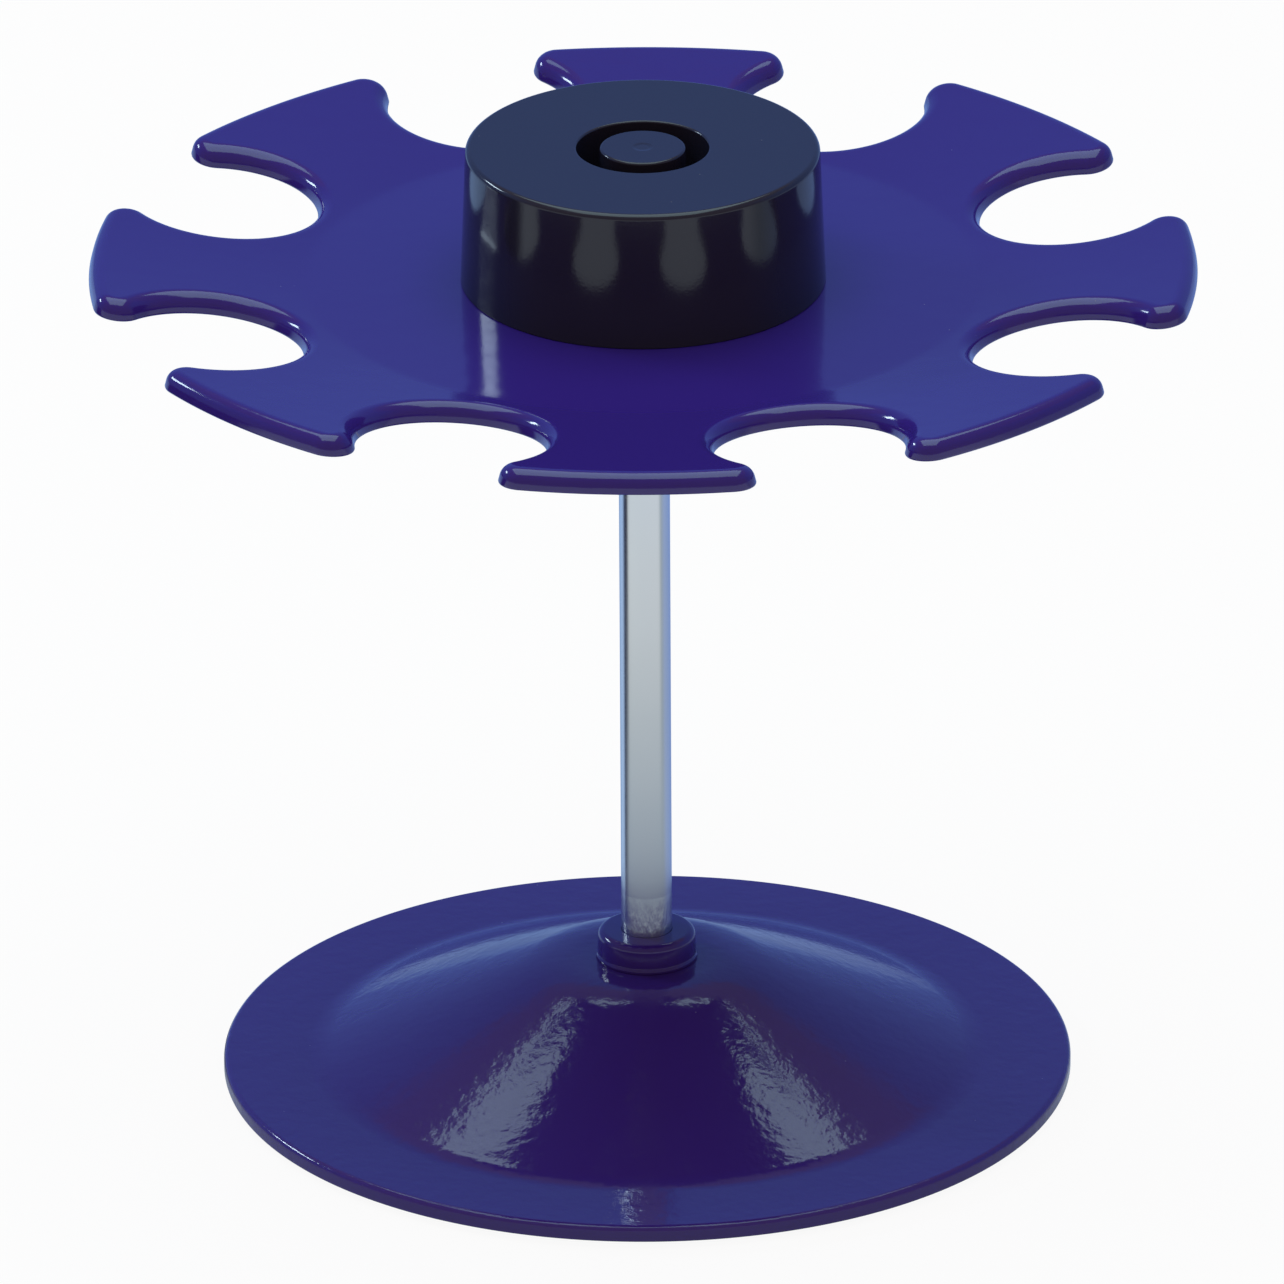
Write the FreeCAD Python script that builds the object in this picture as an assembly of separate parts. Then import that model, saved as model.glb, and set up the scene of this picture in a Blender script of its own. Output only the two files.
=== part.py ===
import FreeCAD, Part
import math
import os
from FreeCAD import Vector

# Desk carousel for rubber stamps: a pressed round base with a raised cone, a plated post, and a
# slotted star plate with a plastic hub that turns on the post. Millimetres, +Z up.
# The origin is the centre of the plane that the foot pads rest on, and Z is the post's axis.
# Arms of the star plate point along X, Y and the diagonals, so its slots lie between them.

# Base: a pressed steel disc with a flat brim and a cone that ends in a small plateau.
# Radii of the cone's foot and of the plateau are those of the sharp corners before rounding.
base_diameter = 100.3
base_sheet = 2.0
cone_height = 12.2
cone_foot_radius = 38.8
plateau_radius = 11.4
cone_foot_rounding = 8.0
plateau_rounding = 3.2
rim_top_rounding = 0.7
rim_bottom_rounding = 0.3

# Foot pads under the brim
pad_count = 4
pad_diameter = 6.0
pad_thickness = 0.8
pad_rim_margin = 3.4
pad_rounding = 0.2

# Post, with a thinner threaded stud at its foot that hangs the base on a nut
post_diameter = 6.0
post_end_chamfer = 0.4
stud_diameter = 5.0
stud_clearance = 0.1
stud_past_nut = 1.0

# Painted collar round the foot of the post
collar_wall = 3.0
collar_height = 3.5
collar_rounding = 0.7

# Washer, split spring washer and hexagon nut under the plateau
base_washer_diameter = 10.0
base_washer_thickness = 1.0
lock_washer_diameter = 9.2
lock_washer_thickness = 1.2
lock_washer_split = 0.9
lock_washer_slant = 25.0
nut_across_flats = 8.0
nut_height = 4.7
nut_chamfer_angle = 30.0

# Star plate: pressed sheet with a flat seat, arms that slope up outside it and an edge turned down all round
star_seat_height = 102.1
star_sheet = 1.2
star_radius = 64.9
seat_slot_clearance = 3.3
star_rise = 2.9
star_edge_height = 2.5
star_edge_rounding = 1.8
arm_end_radius = 75.0
slot_count = 8
slot_centre_inset = 10.7
slot_radius = 11.1
lip_radius = 2.9

# Hub: a plastic cap with a round pocket in its top, standing on the star plate
hub_height = 16.6
hub_bottom_diameter = 42.8
hub_top_diameter = 41.5
hub_wall = 2.0
hub_roof = 2.0
hub_floor = 2.0
hub_edge_rounding = 0.6
pocket_diameter = 15.5
pocket_edge_rounding = 0.3
sleeve_wall = 1.6

# Hub screws, put in from below
screw_count = 3
screw_circle_radius = 14.5
screw_diameter = 2.9
screw_length = 9.0
screw_tip_length = 1.6
screw_head_diameter = 5.6
screw_head_height = 2.1
screw_head_rounding = 1.2
screw_recess_width = 0.9
screw_recess_span = 3.2
screw_recess_depth = 1.2
screw_boss_wall = 1.5
screw_plate_clearance = 0.15
screw_boss_clearance = 0.03
screw_hole_spare = 1.0

# Bush that carries the rotor on the post
bush_wall = 1.45
bush_length = 10.4
bush_flange_diameter = 14.0
bush_flange_thickness = 1.5
bush_running_clearance = 0.05
bush_fit_clearance = 0.02

# Washers and retaining clips above and below the bush
thrust_washer_diameter = 12.0
thrust_washer_thickness = 0.8
upper_washer_diameter = 10.0
upper_washer_thickness = 0.5
washer_clearance = 0.1
end_play = 0.05
clip_diameter = 11.3
clip_thickness = 0.7
clip_band = 1.9
clip_mouth = 4.2
clip_prong_width = 1.8
clip_prong_angle = 100.0
groove_depth = 0.5
groove_clearance = 0.02

# Cap pushed on the top of the post, level with the hub
axle_cap_diameter = 10.1
axle_cap_roof = 2.0
axle_cap_gap = 0.3
axle_cap_fit_clearance = 0.02
axle_cap_rounding = 0.3
gate_mark_radius = 0.6
gate_mark_depth = 0.15

# How far cutting shapes reach past the solids they cut
overlap = 1.0

# Heights of the faces where pieces meet, from the table upwards
rim_bottom = pad_thickness
brim_top = rim_bottom + base_sheet
plateau_top = brim_top + cone_height
plateau_underside = plateau_top - base_sheet
washer_bottom = plateau_underside - base_washer_thickness
lock_washer_bottom = washer_bottom - lock_washer_thickness
nut_bottom = lock_washer_bottom - nut_height
stud_bottom = nut_bottom - stud_past_nut
seat_underside = star_seat_height - star_sheet
bush_bottom = seat_underside - bush_flange_thickness
bush_top = bush_bottom + bush_length
thrust_washer_bottom = bush_bottom - end_play - thrust_washer_thickness
lower_clip_bottom = thrust_washer_bottom - clip_thickness
upper_washer_bottom = bush_top + end_play
upper_clip_bottom = upper_washer_bottom + upper_washer_thickness
hub_top = star_seat_height + hub_height
axle_cap_bottom = upper_clip_bottom + clip_thickness + axle_cap_gap
post_top = hub_top - axle_cap_roof

# Radii that follow from the driving dimensions
base_radius = base_diameter / 2
post_radius = post_diameter / 2
stud_radius = stud_diameter / 2
groove_radius = post_radius - groove_depth
washer_bore_radius = post_radius + washer_clearance
bush_bore_radius = post_radius + bush_running_clearance
bush_radius = bush_bore_radius + bush_wall
bush_hole_radius = bush_radius + bush_fit_clearance
pocket_radius = pocket_diameter / 2
sleeve_radius = pocket_radius + sleeve_wall
slot_centre_radius = star_radius - slot_centre_inset
star_seat_radius = slot_centre_radius - slot_radius - seat_slot_clearance
slot_pitch = 2 * math.pi / slot_count
UP = Vector(0, 0, 1)
CENTRE = Vector(0, 0, 0)


def rounded_wire(corners):
    """Closed wire in the XZ plane through (x, z, rounding) corners, with a tangent arc at each rounded one."""
    points = [Vector(x, 0, z) for x, z, rounding in corners]
    edges = []
    arc_ends = []
    for index, corner in enumerate(points):
        rounding = corners[index][2]
        before = (points[index - 1] - corner).normalize()
        after = (points[(index + 1) % len(points)] - corner).normalize()
        if rounding == 0:
            arc_ends.append((corner, corner))
            continue
        half_angle = before.getAngle(after) / 2
        reach = rounding / math.tan(half_angle)
        towards_centre = (before + after).normalize()
        middle = corner + towards_centre * (rounding / math.sin(half_angle) - rounding)
        start = corner + before * reach
        end = corner + after * reach
        edges.append(Part.Arc(start, middle, end).toShape())
        arc_ends.append((start, end))
    for index in range(len(points)):
        leave = arc_ends[index - 1][1]
        reach_next = arc_ends[index][0]
        edges.append(Part.makeLine(leave, reach_next))
    return Part.Wire(Part.__sortEdges__(edges))


def turned(corners):
    """Solid of revolution about Z of a closed section given by (radius, z, rounding) corners."""
    return Part.Face(rounded_wire(corners)).revolve(CENTRE, UP, 360)


def ring(inner_radius, outer_radius, bottom, height, rounding=0.0):
    """Flat ring with the same rounding on its four edges."""
    top = bottom + height
    return turned([
        (inner_radius, bottom, rounding),
        (outer_radius, bottom, rounding),
        (outer_radius, top, rounding),
        (inner_radius, top, rounding),
    ])


def place_round(shape, radius, angle):
    """Copy of a shape built on the Z axis, moved out to a radius and turned to an angle in degrees."""
    copy = shape.copy()
    copy.translate(Vector(radius, 0, 0))
    copy.rotate(CENTRE, UP, angle)
    return copy


def base_dish():
    """Flat brim, rounded foot, straight cone and rounded plateau, one sheet thick all the way."""
    slope = math.atan2(cone_height, cone_foot_radius - plateau_radius)
    corner_shift = base_sheet * math.tan(slope / 2)
    hole_radius = stud_radius + stud_clearance
    return turned([
        (base_radius, rim_bottom, rim_bottom_rounding),
        (base_radius, brim_top, rim_top_rounding),
        (cone_foot_radius, brim_top, cone_foot_rounding),
        (plateau_radius, plateau_top, plateau_rounding),
        (hole_radius, plateau_top, 0),
        (hole_radius, plateau_underside, 0),
        (plateau_radius - corner_shift, plateau_underside, plateau_rounding - base_sheet),
        (cone_foot_radius - corner_shift, rim_bottom, cone_foot_rounding + base_sheet),
    ])


def foot_pad(number):
    """One thin round pad, stuck under the brim on a diagonal."""
    radius = pad_diameter / 2
    pad = turned([
        (0, 0, 0),
        (radius, 0, pad_rounding),
        (radius, pad_thickness, 0),
        (0, pad_thickness, 0),
    ])
    angle = 360 / pad_count * (number + 0.5)
    return place_round(pad, base_radius - pad_rim_margin - radius, angle)


def post():
    """Plain rod with a shoulder and stud below, and two grooves for the retaining clips near its top."""
    def groove(clip_bottom):
        low = clip_bottom - groove_clearance
        high = clip_bottom + clip_thickness + groove_clearance
        return [
            (post_radius, low, 0),
            (groove_radius, low, 0),
            (groove_radius, high, 0),
            (post_radius, high, 0),
        ]
    section = [
        (0, stud_bottom, 0),
        (stud_radius - post_end_chamfer, stud_bottom, 0),
        (stud_radius, stud_bottom + post_end_chamfer, 0),
        (stud_radius, plateau_top, 0),
        (post_radius, plateau_top, 0),
    ]
    section += groove(lower_clip_bottom)
    section += groove(upper_clip_bottom)
    section += [
        (post_radius, post_top - post_end_chamfer, 0),
        (post_radius - post_end_chamfer, post_top, 0),
        (0, post_top, 0),
    ]
    return turned(section)


def base_collar():
    """Painted ring that stands on the plateau round the foot of the post."""
    inner_radius = post_radius + stud_clearance
    outer_radius = post_radius + collar_wall
    top = plateau_top + collar_height
    return turned([
        (inner_radius, plateau_top, 0),
        (outer_radius, plateau_top, 0),
        (outer_radius, top, collar_rounding),
        (inner_radius, top, 0),
    ])


def base_washer():
    """Plain washer under the plateau."""
    inner_radius = stud_radius + stud_clearance
    return ring(inner_radius, base_washer_diameter / 2, washer_bottom, base_washer_thickness)


def lock_washer():
    """Spring washer with one slanted split."""
    inner_radius = stud_radius + stud_clearance
    outer_radius = lock_washer_diameter / 2
    washer = ring(inner_radius, outer_radius, lock_washer_bottom, lock_washer_thickness)
    tall = 4 * lock_washer_thickness
    split = Part.makeBox(outer_radius + overlap, lock_washer_split, tall)
    split.translate(Vector(0, -lock_washer_split / 2, -tall / 2))
    split.rotate(CENTRE, Vector(1, 0, 0), lock_washer_slant)
    split.translate(Vector(0, 0, lock_washer_bottom + lock_washer_thickness / 2))
    return washer.cut(split)


def base_nut():
    """Hexagon nut whose corners are turned off at both ends."""
    corner_radius = nut_across_flats / 2 / math.cos(math.pi / 6)
    corners = []
    for index in range(7):
        angle = index * math.pi / 3
        corners.append(Vector(corner_radius * math.cos(angle), corner_radius * math.sin(angle), nut_bottom))
    prism = Part.Face(Part.makePolygon(corners)).extrude(Vector(0, 0, nut_height))
    flat_radius = nut_across_flats / 2
    drop = (corner_radius - flat_radius + overlap) * math.tan(math.radians(nut_chamfer_angle))
    top = nut_bottom + nut_height
    envelope = turned([
        (stud_radius + stud_clearance / 2, nut_bottom, 0),
        (flat_radius, nut_bottom, 0),
        (corner_radius + overlap, nut_bottom + drop, 0),
        (corner_radius + overlap, top - drop, 0),
        (flat_radius, top, 0),
        (stud_radius + stud_clearance / 2, top, 0),
    ])
    return prism.common(envelope)


def star_corners():
    """Centres of the arm-end arc and of the lip beside a slot, where the slot's own axis is Y."""
    half_pitch = slot_pitch / 2
    back = star_radius - arm_end_radius
    end_centre = Vector(math.sin(half_pitch) * back, math.cos(half_pitch) * back, 0)
    slot_centre = Vector(0, slot_centre_radius, 0)
    to_end = end_centre - slot_centre
    distance = to_end.Length
    from_slot = slot_radius + lip_radius
    from_end = arm_end_radius - lip_radius
    along = (from_slot ** 2 - from_end ** 2 + distance ** 2) / (2 * distance)
    across = math.sqrt(from_slot ** 2 - along ** 2)
    direction = to_end / distance
    sideways = Vector(-direction.y, direction.x, 0)
    lip_centre = slot_centre + direction * along + sideways * across
    return end_centre, slot_centre, lip_centre


def star_outline(inset, height):
    """Closed outline of the star plate at a height, moved inwards by inset all round."""
    end_centre, slot_centre, lip_centre = star_corners()
    from_slot = (lip_centre - slot_centre).normalize()
    from_end = (lip_centre - end_centre).normalize()
    tip = (from_end - from_slot).normalize()
    slot_joint = slot_centre + from_slot * (slot_radius + inset)
    lip_middle = lip_centre + tip * (lip_radius - inset)
    end_joint = lip_centre + from_end * (lip_radius - inset)
    slot_middle = Vector(0, slot_centre_radius - slot_radius - inset, 0)
    arm_middle = Vector(0, star_radius - inset, 0)

    def at(point, side, turn):
        x = point.x * side
        return Vector(
            point.y * math.cos(turn) + x * math.sin(turn),
            point.y * math.sin(turn) - x * math.cos(turn),
            height,
        )

    edges = []
    for index in range(slot_count):
        turn = (index + 0.5) * slot_pitch
        next_turn = turn + slot_pitch
        arm_turn = turn + slot_pitch / 2
        runs = [
            (at(end_joint, 1, turn), at(lip_middle, 1, turn), at(slot_joint, 1, turn)),
            (at(slot_joint, 1, turn), at(slot_middle, 1, turn), at(slot_joint, -1, turn)),
            (at(slot_joint, -1, turn), at(lip_middle, -1, turn), at(end_joint, -1, turn)),
            (at(end_joint, -1, turn), at(arm_middle, 1, arm_turn), at(end_joint, 1, next_turn)),
        ]
        edges += [Part.Arc(*run).toShape() for run in runs]
    return Part.Wire(edges)


def dish_height(radius):
    """Height of the star's top face at a radius: the flat seat, then the slope of the arms."""
    slope = star_rise / (star_radius - star_seat_radius)
    return star_seat_height + slope * max(radius - star_seat_radius, 0)


def dish_section(top_offset):
    """Turned solid below the star's top face, lowered by top_offset, with a flat floor under the whole edge."""
    reach = star_radius + overlap
    floor = star_seat_height - star_edge_height - overlap
    return turned([
        (0, floor, 0),
        (reach, floor, 0),
        (reach, dish_height(reach) - top_offset, 0),
        (star_seat_radius, star_seat_height - top_offset, 0),
        (0, star_seat_height - top_offset, 0),
    ])


def edge_skirt():
    """Turned solid that keeps the turned-down edge's height the same all along the slope of the arms."""
    reach = star_radius + overlap
    high = dish_height(reach) + overlap
    return turned([
        (0, star_seat_height - star_edge_height, 0),
        (star_seat_radius, star_seat_height - star_edge_height, 0),
        (reach, dish_height(reach) - star_edge_height, 0),
        (reach, high, 0),
        (0, high, 0),
    ])


def star_prism(inset):
    """Upright prism on the star's outline, taller than the plate."""
    low = star_seat_height - star_edge_height - 2 * overlap
    high = star_seat_height + star_rise + 2 * overlap
    return Part.Face(star_outline(inset, low)).extrude(Vector(0, 0, high - low))


def screw_angles():
    """Directions of the hub screws, in degrees."""
    return [90 + 360 / screw_count * index for index in range(screw_count)]


def star_plate():
    """Pressed plate with eight open slots, its edge turned down and rounded all the way round."""
    blank = star_prism(0).common(dish_section(0)).common(edge_skirt())
    top_edges = []
    for edge in blank.Edges:
        middle = edge.valueAt((edge.FirstParameter + edge.LastParameter) / 2)
        radius = math.hypot(middle.x, middle.y)
        if radius > star_seat_radius + overlap and abs(middle.z - dish_height(radius)) < overlap / 10:
            top_edges.append(edge)
    blank = blank.makeFillet(star_edge_rounding, top_edges)
    plate = blank.cut(star_prism(star_sheet).common(dish_section(star_sheet)))
    low = star_seat_height - star_edge_height - overlap
    tall = star_edge_height + 2 * overlap
    plate = plate.cut(Part.makeCylinder(bush_hole_radius, tall, Vector(0, 0, low)))
    hole = Part.makeCylinder(screw_diameter / 2 + screw_plate_clearance, tall, Vector(0, 0, low))
    for angle in screw_angles():
        plate = plate.cut(place_round(hole, screw_circle_radius, angle))
    return plate


def hub_cap():
    """Round cap, hollow underneath, with a central pocket and three screw bosses."""
    bottom_radius = hub_bottom_diameter / 2
    top_radius = hub_top_diameter / 2
    roof_underside = hub_top - hub_roof
    cap = turned([
        (bottom_radius, star_seat_height, 0),
        (top_radius, hub_top, hub_edge_rounding),
        (pocket_radius, hub_top, pocket_edge_rounding),
        (pocket_radius, star_seat_height + hub_floor, 0),
        (bush_hole_radius, star_seat_height + hub_floor, 0),
        (bush_hole_radius, star_seat_height, 0),
        (sleeve_radius, star_seat_height, 0),
        (sleeve_radius, roof_underside, 0),
        (top_radius - hub_wall, roof_underside, 0),
        (bottom_radius - hub_wall, star_seat_height, 0),
    ])
    hole_radius = screw_diameter / 2 + screw_boss_clearance
    seat = Vector(0, 0, star_seat_height)
    boss = Part.makeCylinder(hole_radius + screw_boss_wall, hub_height - hub_roof / 2, seat)
    depth = min(screw_length - star_sheet + screw_hole_spare, hub_height - hub_roof)
    hole = Part.makeCylinder(hole_radius, depth, seat)
    for angle in screw_angles():
        cap = cap.fuse(place_round(boss, screw_circle_radius, angle))
    for angle in screw_angles():
        cap = cap.cut(place_round(hole, screw_circle_radius, angle))
    return cap


def hub_screw(number):
    """Pan-head screw with a cross recess, its head against the underside of the star plate."""
    head_bottom = seat_underside - screw_head_height
    tip = seat_underside + screw_length
    radius = screw_diameter / 2
    screw = turned([
        (0, head_bottom, 0),
        (screw_head_diameter / 2, head_bottom, screw_head_rounding),
        (screw_head_diameter / 2, seat_underside, 0),
        (radius, seat_underside, 0),
        (radius, tip - screw_tip_length, 0),
        (0, tip, 0),
    ])
    for turn in (0, 90):
        arm = Part.makeBox(screw_recess_span, screw_recess_width, screw_recess_depth + overlap)
        arm.translate(Vector(-screw_recess_span / 2, -screw_recess_width / 2, head_bottom - overlap))
        arm.rotate(CENTRE, UP, turn)
        screw = screw.cut(arm)
    return place_round(screw, screw_circle_radius, screw_angles()[number])


def bearing_bush():
    """Flanged bush through the plate and the hub's floor, running on the post."""
    flange_radius = bush_flange_diameter / 2
    return turned([
        (bush_bore_radius, bush_bottom, 0),
        (flange_radius, bush_bottom, 0),
        (flange_radius, seat_underside, 0),
        (bush_radius, seat_underside, 0),
        (bush_radius, bush_top, 0),
        (bush_bore_radius, bush_top, 0),
    ])


def retaining_clip(bottom, mouth_angle):
    """E-shaped clip with three prongs that reach the bottom of its groove."""
    outer_radius = clip_diameter / 2
    prong_end = groove_radius + groove_clearance
    clip = ring(outer_radius - clip_band, outer_radius, bottom, clip_thickness)
    for angle in (0, clip_prong_angle, -clip_prong_angle):
        prong = Part.makeBox(outer_radius - clip_band / 2, clip_prong_width, clip_thickness)
        prong.translate(Vector(0, -clip_prong_width / 2, bottom))
        prong.rotate(CENTRE, UP, angle)
        clip = clip.fuse(prong)
    mouth = Part.makeBox(outer_radius + overlap, clip_mouth, clip_thickness + 2 * overlap)
    mouth.translate(Vector(-outer_radius - overlap, -clip_mouth / 2, bottom - overlap))
    clip = clip.cut(mouth)
    tall = clip_thickness + 2 * overlap
    clip = clip.cut(Part.makeCylinder(prong_end, tall, Vector(0, 0, bottom - overlap)))
    clip.rotate(CENTRE, UP, mouth_angle)
    return clip.removeSplitter()


def thrust_washer():
    """Washer between the lower clip and the turning bush."""
    return ring(washer_bore_radius, thrust_washer_diameter / 2, thrust_washer_bottom, thrust_washer_thickness)


def upper_washer():
    """Thin washer between the bush and the upper clip."""
    return ring(washer_bore_radius, upper_washer_diameter / 2, upper_washer_bottom, upper_washer_thickness)


def axle_cap():
    """Button pushed on the post's end, level with the hub, with a small moulding mark in its top."""
    radius = axle_cap_diameter / 2
    bore = post_radius + axle_cap_fit_clearance
    return turned([
        (bore, axle_cap_bottom, 0),
        (radius, axle_cap_bottom, 0),
        (radius, hub_top, axle_cap_rounding),
        (gate_mark_radius, hub_top, 0),
        (gate_mark_radius / 2, hub_top - gate_mark_depth, 0),
        (0, hub_top - gate_mark_depth, 0),
        (0, post_top, 0),
        (bore, post_top, 0),
    ])


pieces = {
    "base_dish": base_dish(),
    "post": post(),
    "base_collar": base_collar(),
    "base_washer": base_washer(),
    "base_lock_washer": lock_washer(),
    "base_nut": base_nut(),
    "star_plate": star_plate(),
    "hub_cap": hub_cap(),
    "bearing_bush": bearing_bush(),
    "thrust_washer": thrust_washer(),
    "lower_clip": retaining_clip(lower_clip_bottom, 0),
    "upper_washer": upper_washer(),
    "upper_clip": retaining_clip(upper_clip_bottom, 180),
    "axle_cap": axle_cap(),
}
for number in range(pad_count):
    pieces["foot_pad_%d" % (number + 1)] = foot_pad(number)
for number in range(screw_count):
    pieces["hub_screw_%d" % (number + 1)] = hub_screw(number)

os.makedirs("parts", exist_ok=True)
for node, shape in pieces.items():
    if len(shape.Solids) != 1 or not shape.isValid():
        raise ValueError("%s is not one valid solid" % node)
    shape.Solids[0].exportStep("parts/%s.step" % node)
    print("%s: %.1f mm3, z %.2f to %.2f" % (node, shape.Volume, shape.BoundBox.ZMin, shape.BoundBox.ZMax))
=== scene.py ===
import math

import bmesh
import bpy
from mathutils import Matrix, Vector
from mathutils.geometry import delaunay_2d_cdt


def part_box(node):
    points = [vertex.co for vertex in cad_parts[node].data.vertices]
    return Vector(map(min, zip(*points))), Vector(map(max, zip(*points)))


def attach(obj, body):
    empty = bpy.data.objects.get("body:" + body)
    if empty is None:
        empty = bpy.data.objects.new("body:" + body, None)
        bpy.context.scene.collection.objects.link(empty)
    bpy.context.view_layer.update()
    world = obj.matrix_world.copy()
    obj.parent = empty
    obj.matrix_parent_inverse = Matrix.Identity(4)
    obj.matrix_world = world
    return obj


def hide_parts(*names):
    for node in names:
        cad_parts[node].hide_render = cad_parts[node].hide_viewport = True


# Desk carousel for rubber stamps: blue enamelled foot and star plate, plated post, black plastic hub.
# All lengths are metres, written as millimetres times MM. Z is the post's axis, and the viewer is towards -Y.

MM = 0.001
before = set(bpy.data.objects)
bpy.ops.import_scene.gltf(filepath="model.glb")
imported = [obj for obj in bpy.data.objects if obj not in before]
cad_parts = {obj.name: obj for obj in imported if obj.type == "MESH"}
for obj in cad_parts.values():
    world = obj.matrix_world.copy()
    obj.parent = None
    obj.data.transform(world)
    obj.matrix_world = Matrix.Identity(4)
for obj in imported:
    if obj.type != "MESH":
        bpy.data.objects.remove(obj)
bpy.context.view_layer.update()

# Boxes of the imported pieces, which give their heights and outer radii
dish_low, dish_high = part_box("base_dish")
collar_low, collar_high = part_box("base_collar")
post_low, post_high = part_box("post")
hub_low, hub_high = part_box("hub_cap")
button_low, button_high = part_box("axle_cap")
lower_clip_low, lower_clip_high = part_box("lower_clip")
upper_clip_low, upper_clip_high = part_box("upper_clip")

# Foot and collar: sizes that the boxes can't give
base_sheet = 2.0 * MM
cone_foot_radius = 38.8 * MM
plateau_radius = 11.4 * MM
cone_foot_rounding = 8.0 * MM
plateau_rounding = 16.0 * MM
rim_top_rounding = 0.7 * MM
rim_bottom_rounding = 0.3 * MM
dish_hole_clearance = 0.1 * MM
dish_hole_rounding = 0.2 * MM
collar_post_gap = 0.015 * MM
collar_bead = 0.35 * MM
collar_bead_rounding = 0.15 * MM
collar_waist_rounding = 0.3 * MM
collar_top_rounding = 0.85 * MM
collar_bore_rounding = 0.06 * MM

# Post, its clip grooves and its threaded stud
clip_groove_depth = 0.5 * MM
clip_groove_clearance = 0.02 * MM
clip_groove_rounding = 0.05 * MM
post_end_chamfer = 0.4 * MM
post_end_rounding = 0.2 * MM
stud_radius = 2.5 * MM
stud_tip_taper = 0.35 * MM
thread_pitch = 0.8 * MM
thread_depth = 0.42 * MM
thread_fullness = 1.25
thread_runout = 0.4 * MM

# Star plate
star_sheet = 1.2 * MM
star_seat_radius = 39.8 * MM
star_radius = 64.9 * MM
star_rise = 2.9 * MM
crease_half_width = 0.8 * MM
star_edge_height = 2.5 * MM
star_edge_rounding = 1.8 * MM
edge_flare = math.radians(14)
edge_tip_rounding = 0.42 * MM
edge_inner_fillet = 0.5 * MM
edge_top_strips = (0.5 * MM, 0.15 * MM)
edge_under_strip = 0.4 * MM
arm_end_radius = 75.0 * MM
slot_count = 8
slot_centre_radius = 54.2 * MM
slot_radius = 11.1 * MM
lip_radius = 2.9 * MM
star_hole_clearance = 0.1 * MM

# Hub, its pocket and sleeve, and the button on the post's end
hub_top_radius = 20.75 * MM
hub_wall = 2.0 * MM
hub_roof = 2.0 * MM
hub_floor = 2.0 * MM
hub_foot_rounding = 0.15 * MM
hub_rim_rounding = 0.7 * MM
hub_hollow_rounding = 0.5 * MM
pocket_radius = 7.75 * MM
pocket_rim_rounding = 0.25 * MM
pocket_floor_rounding = 0.3 * MM
sleeve_wall = 1.6 * MM
bush_radius = 4.5 * MM
bore_clearance = 0.02 * MM
button_foot_rounding = 0.2 * MM
button_rim_rounding = 0.3 * MM
mark_rim_radius = 1.25 * MM
mark_floor_radius = 0.8 * MM
mark_depth = 0.05 * MM
mark_rounding = 0.3 * MM

# Rounding of edges that hardly show
edge_break = 0.1 * MM

# Spacing of the points inside the star's sheet, and of the rows that follow its crease
grid_spacing = 1.7 * MM
grid_border_gap = 1.0 * MM
seam_spacing = 1.6 * MM
seam_end_gap = 0.2 * MM
hole_rim_steps = 4
crease_spacing = 1.0 * MM
crease_border_gap = 0.3 * MM
crease_rows = (0.9, 0.45, 0.0, -0.45, -0.9)


# Profiles and turned pieces

def new_object(name, mesh):
    """Object of a mesh, linked at the origin."""
    thing = bpy.data.objects.new(name, mesh)
    bpy.context.scene.collection.objects.link(thing)
    return thing


def corner_points(before, corner, after, rounding, finest):
    """Points of a profile's corner: itself where it is sharp, or else the arc that rounds it."""
    if rounding == 0:
        return [corner]
    towards_last = (before - corner).normalized()
    towards_next = (after - corner).normalized()
    half = towards_last.angle(towards_next) / 2
    reach = rounding / math.tan(half)
    centre = corner + (towards_last + towards_next).normalized() * rounding / math.sin(half)
    first = corner + towards_last * reach - centre
    last = corner + towards_next * reach - centre
    sweep = first.angle_signed(last)
    widest_step = math.radians(6)
    steps = max(finest, int(abs(sweep) / widest_step))
    arc = []
    for step in range(steps + 1):
        turn = -sweep * step / steps
        spoke = Vector((
            first.x * math.cos(turn) - first.y * math.sin(turn),
            first.x * math.sin(turn) + first.y * math.cos(turn),
        ))
        arc.append(centre + spoke)
    return arc


def outward(one, two):
    """Normal of a profile's segment, away from the inside on its left."""
    return Vector((two.y - one.y, one.x - two.x)).normalized()


def meeting_normal(flat, neighbour):
    """Normal where an arc's segment meets its neighbour: the neighbour's own one where that is straight."""
    one, two, curved = neighbour
    return (flat + outward(one, two)).normalized() if curved else outward(one, two)


def rounded_profile(corners, finest):
    """Segments of a closed profile of corners, as (start, end, start normal, end normal).

    A corner is (radius, height, rounding), and the profile has its inside on the left."""
    points = [Vector((radius, height)) for radius, height, rounding in corners]
    joints = []
    for index, corner in enumerate(points):
        after = points[(index + 1) % len(points)]
        joints.append(corner_points(points[index - 1], corner, after, corners[index][2], finest))
    segments = []
    for index, arc in enumerate(joints):
        segments += [(one, two, True) for one, two in zip(arc, arc[1:])]
        following = joints[(index + 1) % len(joints)][0]
        if (following - arc[-1]).length > 1e-7:
            segments.append((arc[-1], following, False))
    result = []
    for index, (one, two, curved) in enumerate(segments):
        start = end = outward(one, two)
        if curved:
            end = meeting_normal(start, segments[(index + 1) % len(segments)])
            start = meeting_normal(start, segments[index - 1])
        result.append((one, two, start, end))
    return result


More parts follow.
